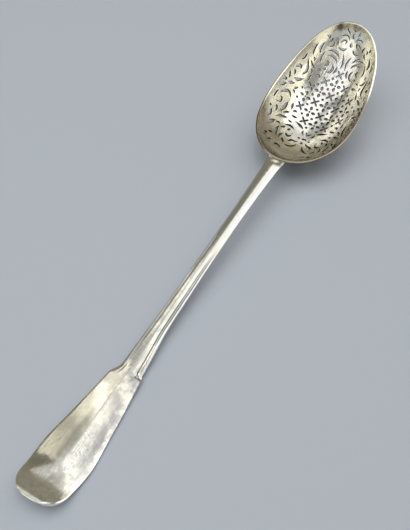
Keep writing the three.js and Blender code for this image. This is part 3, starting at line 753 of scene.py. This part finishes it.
def bladeHeights(at, up):
    rib = handle["ribHeight"] * smooth(at, handle["ribStart"], handle["ribStart"] + handle["ribFade"])
    rib *= 1 - fromShoulder(at, "ribEnds")
    fork = smooth(handle["forkAt"] - at, 0, handle["forkRun"])  # the rib parts in two near the end
    arm = fork * handle["forkSpread"]
    rib *= 1 - handle["forkSink"] * fork
    heights = []
    for share in topShares:
        beside = max(0, 1 - abs(share - arm) / handle["ribSoftenedOver"])
        if share >= arm:
            crest = (max(0, 1 - share) / (1 - arm)) ** handle["ribSweep"]
        else:
            crest = 1 - handle["forkDip"] * fork * (1 - share / arm)
        heights.append(up + rib * (crest - handle["ribSoftened"] * beside**2))
    return heights + [up * share for share in bladeEdge]


def barHeights(up):  # a gently rounded top, then a sunk line, a bead, another line and the flank
    return [up * share for share in barTop + barEdge]


def rodHeights(up):
    low, full = handle["rodShoulder"], handle["rodFullness"]
    rodTop = [low + (1 - low) * math.sqrt(max(0, 1 - share**full)) for share in topShares]
    return [up * share for share in rodTop + rodEdge]


def stemLean(side):  # the top falls away from its crest; side is a share of the half width
    past = side - handle["crestAt"]
    return handle["leanLeft"] * min(past, 0) - handle["leanRight"] * max(past, 0)


def handleRing(at):
    step = 0.05
    tilt = math.atan2(middle(at + step) - middle(at), step)
    up = thickness(at) / 2
    drop = handle["neckAboveRim"] * smooth(at, handle["length"] - handle["neckDrop"], barEnd)
    roundShare = fromShoulder(at, "turnsRound")
    stepStart, stepEnd = handle["stepStarts"]
    stepShare = smooth(at, rightShoulder + stepStart, rightShoulder + stepEnd)
    blade, bar, rod = bladeHeights(at, up), barHeights(up), rodHeights(up)
    right, left = rightHalf(at), leftHalf(at)
    ring = []
    for k in range(pointsAround):
        onRight = k < len(acrossShares)
        i = k if onRight else pointsAround - k
        isStepped = onRight and handle["stepFrom"] < acrossShares[i]
        stemShare = stepShare if isStepped else fromShoulder(at, "stemStarts")
        stem = mix(bar[i], rod[i], roundShare)
        if i < len(topShares):
            stem += up * stemLean(acrossShares[i] if onRight else -acrossShares[i])
        height = mix(blade[i], stem, stemShare)
        height -= drop * max(0, height / up)
        ring.append(Vector((
            at - height * math.sin(tilt) - spoon["middleAt"],
            acrossShares[i] * (-right if onRight else left),
            middle(at) + height * math.cos(tilt),
        )))
    return ring


def stationPlaces():  # marks along the bar, closest together where its shape changes fast
    end, marks = handle["bladeEndRound"], handle["endMarks"]
    places = [handle["firstMark"] + end * (1 - math.cos(math.pi / 2 * i / marks)) for i in range(marks)]
    runs = (  # from, to, and the number of marks
        (end, leftShoulder - 0.6, 44),
        (leftShoulder - 0.6, leftShoulder + 1.2, 6),
        (leftShoulder + 1.2, rightShoulder - 0.4, 4),
        (rightShoulder - 0.4, rightShoulder + 4.1, 15),
        (rightShoulder + 4.1, shoulderAt + 10, 9),
        (shoulderAt + 10, neckAt, 52),
        (neckAt, barEnd, 30),
    )
    for start, stop, steps in runs:
        places += [mix(start, stop, i / steps) for i in range(steps)]
    return places + [barEnd]


def makeHandle():
    # a round bar, marked off by bisecting, then forged to its section at every mark
    places = stationPlaces()
    last = len(places) - 1
    bpy.ops.mesh.primitive_cylinder_add(
        vertices=pointsAround, radius=1, depth=last, rotation=(0, math.pi / 2, 0)
    )
    bar = bpy.context.object
    bar.name = "forgedHandle"
    bpy.ops.object.transform_apply(location=True, rotation=True, scale=True)
    for vertex in bar.data.vertices:
        vertex.co.x += last / 2
    for mark in range(1, last):
        editAll()
        bpy.ops.mesh.bisect(plane_co=(mark, 0, 0), plane_no=(1, 0, 0))
        doneEditing()
    rings = [handleRing(at) for at in places]
    turnStep = 2 * math.pi / pointsAround
    crest = max(bar.data.vertices, key=lambda v: (round(v.co.z, 4), -abs(v.co.y)))
    start = math.atan2(-crest.co.y, crest.co.z)
    for vertex in bar.data.vertices:
        mark = round(vertex.co.x)
        turn = math.atan2(-vertex.co.y, vertex.co.z) - start
        vertex.co = rings[mark][round(turn / turnStep) % pointsAround]
    faceOut(bar)
    return bar


def rimBeside(across):  # how far the rim at the heel is from the middle of the sheet
    reach = mouthRadius(math.pi) * bowl["stretch"]
    return lastInside(lambda half: sheetShare(-half, across) < 1, reach, halvings=30)


def backPatch(name, length, width, nearFace, farFace):  # a round-ended patch on the back of the heel
    patch = addSheet(name, joint["cellsAlong"], joint["cellsAcross"])
    thicken(patch)
    rimAtHeel = mouthRadius(math.pi) * bowl["stretch"]
    for vertex in patch.data.vertices:
        way, side, through = (vertex.co.x + 1) / 2, vertex.co.y, -vertex.co.z
        y = side * width / 2 * math.sqrt(1 - (joint["endRound"] * way) ** 3)
        x = mix(-rimBeside(y), length - rimAtHeel, way)
        wall = wallAt(x, y)
        vertex.co = bowlPoint(x, y, wall + mix(nearFace(way, side), farFace(way, side), through))
    faceOut(patch)
    return patch


def makeBowlForm(distance):  # the filled bowl, a little larger, that the neck is filed to fit
    form = addSheet("bowlForm", *joint["formCells"])
    thicken(form)
    for vertex in form.data.vertices:
        onTop = vertex.co.z > -0.5
        x, y = eggPlace(vertex.co.x, vertex.co.y)
        at = bowlPoint(x, y, wallAt(x, y) + distance)
        vertex.co = (at.x, at.y, joint["formTop"]) if onTop else at
    faceOut(form)
    return form


seat = 2 * joint["gap"] + joint["solder"]


def againstBowl(way, side):
    return joint["gap"]


def solderBack(way, side):
    return joint["gap"] + joint["solder"]


def tongueBack(way, side):
    thick = mix(handle["neckThickness"], joint["tongueThickness"], smooth(way, 0, joint["thinnedBy"]))
    return seat + thick * (1 - joint["sideThinning"] * side**2)


forged = makeHandle()
tongue = backPatch("tongue", joint["tongueLength"], joint["tongueWidth"], againstBowl, tongueBack)
applyModifier(forged, "BOOLEAN", operation="UNION", object=tongue, solver="EXACT")
form = makeBowlForm(seat)
applyModifier(forged, "BOOLEAN", operation="DIFFERENCE", object=form, solver="EXACT")
removeObject(tongue)
removeObject(form)
solderLength = joint["tongueLength"] + joint["margin"]
solderWidth = joint["tongueWidth"] + 2 * joint["margin"]
solder = backPatch("solderFillet", solderLength, solderWidth, againstBowl, solderBack)
for piece in (forged, solder):
    for vertex in piece.data.vertices:
        vertex.co *= toMetres

polishAndShadeLines = {  # dark lines in the two sunk lines beside the bead, partly old polish and partly painted shade, in shares of the half width
    "start": 0.3,  # past the right shoulder
    "end": 85,  # past the shoulders
    "inner": 0.605,
    "innerHalf": 0.015,
    "hookLength": 3.6,
    "hookReach": 0.4,
    "hookHalf": 0.045,
    "outer": (0.77, 0.80),
}


def isPolishAndShadeLine(face):
    at = face.center.x * toMillimetres + spoon["middleAt"]
    isBeside = rightShoulder + polishAndShadeLines["start"] < at < shoulderAt + polishAndShadeLines["end"]
    if face.normal.z <= 0 or not isBeside:
        return False
    share = -face.center.y * toMillimetres / rightHalf(at)
    past = at - rightShoulder - polishAndShadeLines["start"]
    turned = max(0, 1 - past / polishAndShadeLines["hookLength"])  # the inner line hooks out to the edge
    line = polishAndShadeLines["inner"] + polishAndShadeLines["hookReach"] * (1 - math.sqrt(1 - turned**2))
    half = polishAndShadeLines["hookHalf"] if turned else polishAndShadeLines["innerHalf"]
    low, high = polishAndShadeLines["outer"]
    return abs(share - line) < half or (turned == 0 and low < share < high)


forged.data.materials.append(None)
forged.data.materials.append(None)
for face in forged.data.polygons:
    face.material_index = int(isPolishAndShadeLine(face))
for piece, settings in ((pierced, bowl), (forged, handle), (solder, joint)):
    pickOnly(piece)
    bpy.ops.object.shade_smooth_by_angle(angle=math.radians(settings["smoothAngle"]))
    print(piece.name, len(piece.data.polygons), "faces")


# The silver

silverLook = {
    "bright": (0.93, 0.925, 0.90),
    "dull": (0.56, 0.56, 0.52),
    "cream": (0.98, 0.955, 0.82),
    "brown": (0.28, 0.24, 0.17),
    # olive and grey are laid on only as painted shade on the blade
    "olive": (0.40, 0.39, 0.33),
    "toned": (0.69, 0.69, 0.665),
    "grey": (0.25, 0.25, 0.225),
    "shade": (0.44, 0.435, 0.45),
    # near black for the sawn walls and sunk lines, partly painted shade
    "sootAndShade": (0.03, 0.027, 0.02),
    "rough": 0.09,
    "wornRough": 0.11,
    "scratchRough": 0.07,
    "relief": {"Strength": 0.4, "Distance": 0.00016},
}
sawnLook = {
    "rough": 0.5,
    "grimeRough": 0.3,
    "brown": 0.12,
    "shine": 0.25,
    "relief": {"Strength": 0.3, "Distance": 0.0001},
}
patterns = {
    "cloud": {"scale": 55, "detail": 6, "rough": 0.62},
    "blotch": {"scale": 130, "detail": 5, "rough": 0.6},
    "speck": {"scale": 420, "detail": 3},
    "scratch": {"scale": 210, "stretch": (0.10, 5, 1), "turn": 0.45, "detail": 2},
    "crossScratch": {"scale": 260, "stretch": (0.12, 6, 1), "turn": -0.85, "detail": 2},
    "stroke": {"scale": 330, "stretch": (1, 4.5, 1), "turn": 0.6, "detail": 3},
    "warmth": {"scale": 24, "stretch": (1, 1.6, 1), "turn": 0.3, "detail": 3},
    "patch": {"scale": 190},
    "grime": {"scale": 500},
}
spots = {  # centre and reach, in metres
    "frost": ((0.132, 0.003, 0.022), (0.017, 0.015, 0.025)),
    "dulled": ((0.1365, -0.0040, 0.022), (0.011, 0.009, 0.02)),
    "stain": ((0.1438, 0.0080, 0.0405), (0.0030, 0.0026, 0.0045)),
    # painted shade: a darker olive left half of the blade, and a dark grey line beside the rib
    "leftBladeShade": ((-0.117, 0.0085, 0.003), (0.030, 0.0112, 0.02)),
    "ribShadeLine": ((-0.115, 0.0022, 0.003), (0.021, 0.0033, 0.02)),
    "wornShoulder": ((-0.084, -0.0045, 0.003), (0.022, 0.0085, 0.02)),
    "wornEdge": ((-0.106, -0.0085, 0.003), (0.022, 0.0052, 0.02)),
}


def newMaterial(name):
    material = bpy.data.materials.new(name)
    material.use_nodes = True
    tree = material.node_tree
    return material, tree, tree.nodes["Principled BSDF"]


def node(tree, kind, values=(), links=(), **settings):
    made = tree.nodes.new(kind)
    for name, value in settings.items():
        setattr(made, name, value)
    for place, value in dict(values).items():
        made.inputs[place].default_value = value
    for place, source in dict(links).items():
        tree.links.new(source, made.inputs[place])
    return made


def noiseOn(tree, place, scale, stretch=(1, 1, 1), turn=0, detail=4, rough=0.55):
    moved = node(tree, "ShaderNodeMapping", {"Scale": stretch, "Rotation": (0, 0, turn)}, {"Vector": place})
    grain = {"Scale": scale, "Detail": detail, "Roughness": rough}
    return node(tree, "ShaderNodeTexNoise", grain, {"Vector": moved.outputs[0]}).outputs["Fac"]


def ramp(tree, source, stops):
    made = node(tree, "ShaderNodeValToRGB", links={"Fac": source})
    while len(made.color_ramp.elements) < len(stops):
        made.color_ramp.elements.new(0.5)
    for element, (at, colour) in zip(made.color_ramp.elements, stops):
        element.position = at
        element.color = (*colour, 1)
    return made.outputs["Color"]


def maths(tree, operation, a, b, clamp=False):
    made = node(tree, "ShaderNodeMath", operation=operation, use_clamp=clamp)
    for place, value in enumerate((a, b)):
        if isinstance(value, (int, float)):
            made.inputs[place].default_value = value
        else:
            tree.links.new(value, made.inputs[place])
    return made.outputs[0]


def times(tree, a, b):
    return maths(tree, "MULTIPLY", a, b)


def plus(tree, a, b, clamp=False):
    return maths(tree, "ADD", a, b, clamp)


def blend(tree, share, a, b):
    made = node(tree, "ShaderNodeMix", links={0: share}, data_type="RGBA")
    for place, value in ((6, a), (7, b)):
        if isinstance(value, tuple):
            made.inputs[place].default_value = (*value, 1)
        else:
            tree.links.new(value, made.inputs[place])
    return made.outputs[2]


def tint(tree, mask, strength, colour, name):  # lays one of the silver's colours over the rest
    return blend(tree, times(tree, mask, strength), colour, silverLook[name])


def grade(tree, source, low, high):  # 0 on the low side, 1 on the high side
    made = node(tree, "ShaderNodeMapRange", {1: low, 2: high}, {0: source}, interpolation_type="SMOOTHSTEP")
    return made.outputs[0]


def lengthOf(tree, vector):
    return node(tree, "ShaderNodeVectorMath", links={0: vector}, operation="LENGTH").outputs["Value"]


def spot(tree, place, name):  # 1 in the middle of a soft round patch, 0 outside it
    centre, size = spots[name]
    shift = tuple(-c / s for c, s in zip(centre, size))
    scale = tuple(1 / s for s in size)
    moved = node(tree, "ShaderNodeMapping", {"Location": shift, "Scale": scale}, {"Vector": place})
    return grade(tree, lengthOf(tree, moved.outputs[0]), 1.0, 0.25)


def addRelief(tree, shader, height, relief):
    bump = node(tree, "ShaderNodeBump", relief, {"Height": height})
    tree.links.new(bump.outputs[0], shader.inputs["Normal"])


def silver(name, tarnishAndShade=None, frost=None):
    material, tree, shader = newMaterial(name)
    place = node(tree, "ShaderNodeTexCoord").outputs["Object"]
    cloud, blotch, speck, scratch, crossScratch = [
        noiseOn(tree, place, **patterns[kind])
        for kind in ("cloud", "blotch", "speck", "scratch", "crossScratch")
    ]
    worn = grade(tree, plus(tree, times(tree, cloud, 0.55), times(tree, blotch, 0.45)), 0.42, 0.60)
    colour = tint(tree, worn, 0.55, silverLook["bright"], "dull")
    colour = tint(tree, grade(tree, speck, 0.50, 0.64), 0.5, colour, "dull")
    if tarnishAndShade:
        colour = tarnishAndShade(tree, place, cloud, colour)
    tree.links.new(colour, shader.inputs["Base Color"])
    wornRough = times(tree, worn, silverLook["wornRough"])
    scratchRough = times(tree, scratch, silverLook["scratchRough"])
    rough = plus(tree, plus(tree, wornRough, scratchRough), silverLook["rough"])
    tree.links.new(rough, shader.inputs["Roughness"])
    shader.inputs["Metallic"].default_value = 1
    relief = plus(tree, times(tree, scratch, 0.35), times(tree, crossScratch, 0.35))
    relief = plus(tree, relief, times(tree, blotch, 1.6))
    relief = plus(tree, relief, times(tree, speck, 0.9))
    if frost:
        relief = plus(tree, relief, frost(tree, place))
    addRelief(tree, shader, relief, silverLook["relief"])
    return material


def bowlTarnishAndShade(tree, place, cloud, colour):
    centre, halfLength, halfWide = 0.106, 0.058, 0.0266
    moving = {"Location": (-centre / halfLength, 0, 0), "Scale": (1 / halfLength, 1 / halfWide, 0)}
    centred = node(tree, "ShaderNodeMapping", moving, {"Vector": place}).outputs[0]
    wander = times(tree, maths(tree, "SUBTRACT", cloud, 0.5), 0.5)
    uneven = plus(tree, lengthOf(tree, centred), wander)
    colour = tint(tree, grade(tree, uneven, 0.43, 0.68), 0.85, colour, "cream")
    # browner low towards the heel and along the right wall: partly tarnish, partly painted shade
    sides = node(tree, "ShaderNodeSeparateXYZ", links={0: centred})
    lean = plus(tree, times(tree, sides.outputs[0], -2.5), times(tree, sides.outputs[1], -0.50))
    colour = tint(tree, grade(tree, plus(tree, uneven, lean), 0.80, 1.30), 0.93, colour, "brown")
    colour = tint(tree, spot(tree, place, "dulled"), 0.55, colour, "shade")
    return tint(tree, spot(tree, place, "stain"), 0.8, colour, "brown")


def bowlFrost(tree, place):  # short hammer and polish strokes inside the tip
    strokes = noiseOn(tree, place, **patterns["stroke"])
    return times(tree, times(tree, strokes, spot(tree, place, "frost")), 5.0)


def handleTarnishAndShade(tree, place, cloud, colour):
    warmth = grade(tree, noiseOn(tree, place, **patterns["warmth"]), 0.42, 0.62)
    along = node(tree, "ShaderNodeSeparateXYZ", links={0: place}).outputs[0]
    onBlade = plus(tree, times(tree, grade(tree, along, -0.068, -0.085), 0.5), 0.15)
    colour = tint(tree, warmth, onBlade, colour, "cream")
    lowStem = times(tree, grade(tree, along, -0.094, -0.070), 0.4)
    highStem = times(tree, grade(tree, along, -0.05, -0.01), 0.42)
    colour = blend(tree, plus(tree, lowStem, highStem), colour, silverLook["toned"])
    # painted shade: the left half of the blade darker olive, and a grey line of shade beside the rib
    colour = tint(tree, spot(tree, place, "leftBladeShade"), 0.86, colour, "olive")
    colour = tint(tree, spot(tree, place, "ribShadeLine"), 0.8, colour, "grey")
    patchy = grade(tree, noiseOn(tree, place, **patterns["patch"]), 0.32, 0.54)
    worn = plus(tree, spot(tree, place, "wornShoulder"), spot(tree, place, "wornEdge"), clamp=True)
    return tint(tree, times(tree, worn, patchy), 0.85, colour, "shade")


def sawnSilver(name):  # sawn edges and sunk lines, near black: partly old polish, partly painted shade that darkens the holes and the lines
    material, tree, shader = newMaterial(name)
    place = node(tree, "ShaderNodeTexCoord").outputs["Object"]
    grime = noiseOn(tree, place, **patterns["grime"])
    shares = ramp(tree, grime, [(0.35, (0, 0, 0)), (0.75, (1, 1, 1))])
    colour = tint(tree, shares, sawnLook["brown"], silverLook["sootAndShade"], "brown")
    tree.links.new(colour, shader.inputs["Base Color"])
    shader.inputs["Specular IOR Level"].default_value = sawnLook["shine"]
    rough = plus(tree, times(tree, grime, sawnLook["grimeRough"]), sawnLook["rough"])
    tree.links.new(rough, shader.inputs["Roughness"])
    addRelief(tree, shader, grime, sawnLook["relief"])
    return material


bowlSilver = silver("agedShadedBowlSilver", bowlTarnishAndShade, bowlFrost)
grimeAndShadeSilver = sawnSilver("grimeAndShadeSilver")
handleSilver = silver("agedShadedHandleSilver", handleTarnishAndShade)
solderSilver = silver("solderSilver")
for piece, material, slot, cadNode in (
    (pierced, bowlSilver, "bowl_silver", "bowl"),
    (forged, handleSilver, "handle_silver", "stem_handle"),
    (solder, solderSilver, "solder", "solder_seam"),
):
    if piece is solder:
        piece.data.materials.append(material)
    else:
        piece.data.materials[0] = material
        piece.data.materials[1] = grimeAndShadeSilver
    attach(piece, "root")
    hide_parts(cadNode)
print("materials done")


# The table, the lights and the camera, in metres

studio = {
    "tableSize": 6,
    "tableTop": -0.00003,
    "floor": (0.56, 0.615, 0.705),
    "floorRough": 0.7,
    "darkSide": (0.25, 0.235, 0.19),
    "paleSide": (0.30, 0.30, 0.29),
    "towardsPale": Vector((-0.6, -0.7, 0.4)).normalized(),
    "azimuth": math.radians(-58.33),
    "elevation": math.radians(54.92),
    "distance": 0.37504,
    "target": Vector((-0.012861, -0.000406, 0.008)),
    "focalPixels": 774.18,
    "frameHeight": 530,
    "sensor": 36,
}

bpy.ops.mesh.primitive_plane_add(size=studio["tableSize"], location=(0, 0, studio["tableTop"]))
floor = bpy.context.object
floor.name = "table"
floorMaterial, _, floorShader = newMaterial("paleTable")
floorShader.inputs["Base Color"].default_value = (*studio["floor"], 1)
floorShader.inputs["Roughness"].default_value = studio["floorRough"]
floor.data.materials.append(floorMaterial)

world = bpy.context.scene.world or bpy.data.worlds.new("studio")
bpy.context.scene.world = world
world.use_nodes = True
worldTree = world.node_tree
looking = node(worldTree, "ShaderNodeTexCoord").outputs["Generated"]
facing = node(
    worldTree, "ShaderNodeVectorMath", {1: studio["towardsPale"]}, {0: looking}, operation="DOT_PRODUCT"
)
paleness = plus(worldTree, times(worldTree, facing.outputs["Value"], 0.5), 0.5)
walls = ramp(worldTree, paleness, [(0.36, studio["darkSide"]), (0.78, studio["paleSide"])])
worldTree.links.new(walls, worldTree.nodes["Background"].inputs["Color"])
bpy.context.scene.view_settings.view_transform = "Standard"

# the radiance of a panel is its power over pi times its area
# panels that light the table and are never mirrored: name, place, size, power and colour
tableLights = (
    ("key", (-0.16, 0.28, 1.1), (1.05, 1.05), 5.1, (1, 0.985, 0.97)),
    ("fill", (0.34, -0.24, 1.1), (1.2, 1.2), 2.95, (1, 0.985, 0.97)),
)
# level panels overhead, for the metal to mirror
ceilingPanels = (
    ("ceiling", (0.53, -0.25, 1.0), (0.74, 0.94), 2.25, (1, 0.985, 0.94)),
    ("ceilingEdge", (1.2, -0.16, 1.0), (0.6, 1.12), 1.0, (1, 0.97, 0.90)),
    ("haze", (-0.525, -0.045, 1.0), (0.75, 1.33), 2.26, (1, 0.99, 0.97)),
    ("hazeFar", (-1.25, -0.1, 1.0), (0.7, 1.1), 1.2, (1, 0.99, 0.94)),
    ("hazeRight", (0.005, -0.29, 1.0), (0.31, 0.84), 0.86, (1, 0.98, 0.89)),
    ("greySky", (0.005, 0.29, 1.0), (0.31, 0.32), 0.112, (0.97, 0.985, 1)),
    ("greyEdge", (0.455, 0.36, 1.0), (0.59, 0.28), 0.25, (0.94, 0.975, 1)),
    ("skylight", (0.22, 0.68, 1.0), (0.30, 0.32), 0.37, (1, 0.965, 0.86)),
)
# panels at the sides, for the metal to mirror: the second place is what they are aimed at
windows = (
    ("windowBack", (-0.75, 0.75, 0.75), (0.1, 0, 0), (0.9, 0.9), 3.1, (1, 0.985, 0.92)),
    ("windowRight", (0.45, -0.78, 0.6), (0.05, 0, 0), (0.8, 0.6), 2.1, (1, 0.97, 0.88)),
    ("lowWindow", (0.55, -1.0, 0.22), (0.1, 0, 0.02), (1.0, 0.4), 1.7, (1, 0.98, 0.90)),
    ("windowLeft", (-0.95, 0.1, 0.26), (0.0, 0, 0), (0.9, 0.45), 1.15, (1, 0.985, 0.95)),
    ("windowNear", (-0.61, -0.74, 0.30), (0.1, 0, 0.02), (0.5, 0.3), 0.25, (1, 0.985, 0.95)),
)


def softLight(name, at, aim, size, power, colour, onTable=False):
    bpy.ops.object.light_add(type="AREA", location=at)
    light = bpy.context.object
    light.name = name
    light.data.shape = "RECTANGLE"
    light.data.size, light.data.size_y = size
    light.data.energy = power
    light.data.color = colour
    light.visible_diffuse = onTable
    light.visible_glossy = not onTable
    light.rotation_euler = (Vector(aim) - Vector(at)).to_track_quat("-Z", "Y").to_euler()


for name, at, size, power, colour in tableLights:
    softLight(name, at, (0, 0, 0), size, power, colour, onTable=True)
for name, at, size, power, colour in ceilingPanels:
    softLight(name, at, (at[0], at[1], 0), size, power, colour)
for window in windows:
    softLight(*window)
print("lights done")

toCamera = Vector((
    math.sin(studio["azimuth"]) * math.cos(studio["elevation"]),
    -math.cos(studio["azimuth"]) * math.cos(studio["elevation"]),
    math.sin(studio["elevation"]),
))
bpy.ops.object.camera_add(location=studio["target"] + toCamera * studio["distance"])
camera = bpy.context.object
camera.rotation_euler = (-toCamera).to_track_quat("-Z", "Y").to_euler()
camera.data.sensor_fit = "VERTICAL"
camera.data.sensor_height = studio["sensor"]
camera.data.lens = studio["focalPixels"] * studio["sensor"] / studio["frameHeight"]
camera.data.clip_start = 0.01
bpy.context.scene.camera = camera
